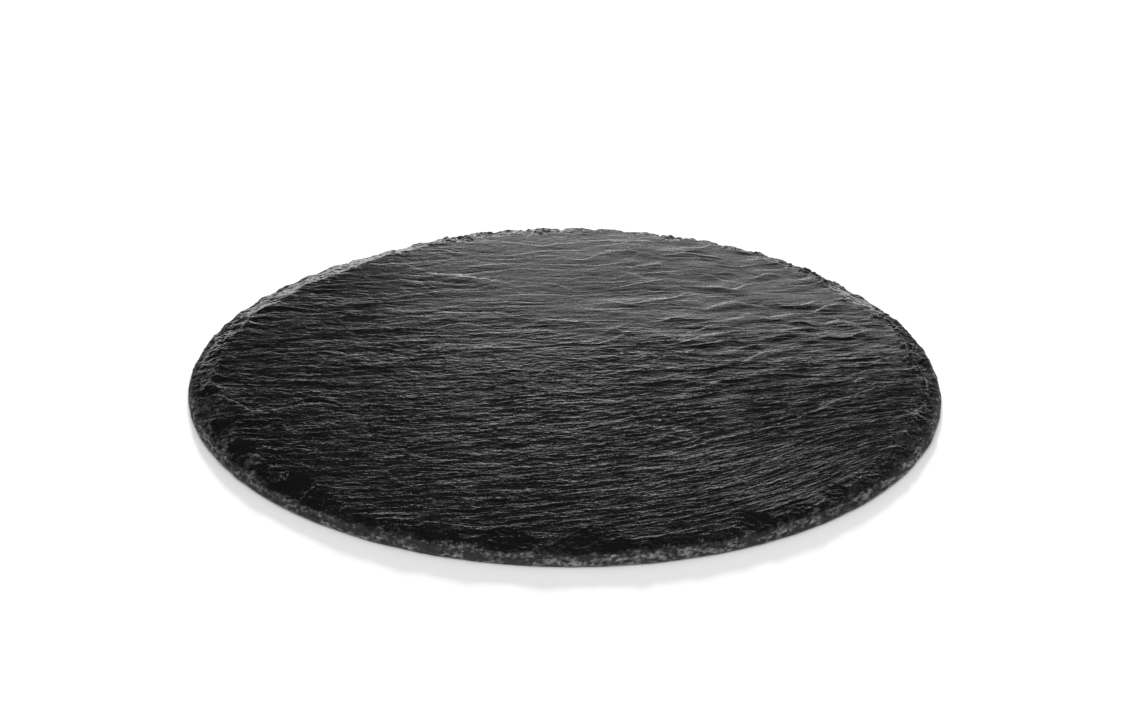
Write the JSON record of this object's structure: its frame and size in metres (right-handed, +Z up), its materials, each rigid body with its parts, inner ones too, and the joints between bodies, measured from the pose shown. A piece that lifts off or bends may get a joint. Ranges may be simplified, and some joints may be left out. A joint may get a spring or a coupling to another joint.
{
  "type": "round slate plate",
  "caption": "Thin round plate of natural black slate with a riven grained top face, a rough hand-knapped sloping rim and a flat underside.",
  "frame": {"origin": "centre of the plate's outline on the plane of its underside", "axes": "+Z up through the thickness; the grain of the split face runs mostly along X, with the large front flakes on the -Y side"},
  "size_m": [0.2998, 0.3, 0.007],
  "materials": {
    "slate": "satin"
  },
  "bodies": {
    "root": {"slate_slab": "slate"}
  },
  "joints": []
}
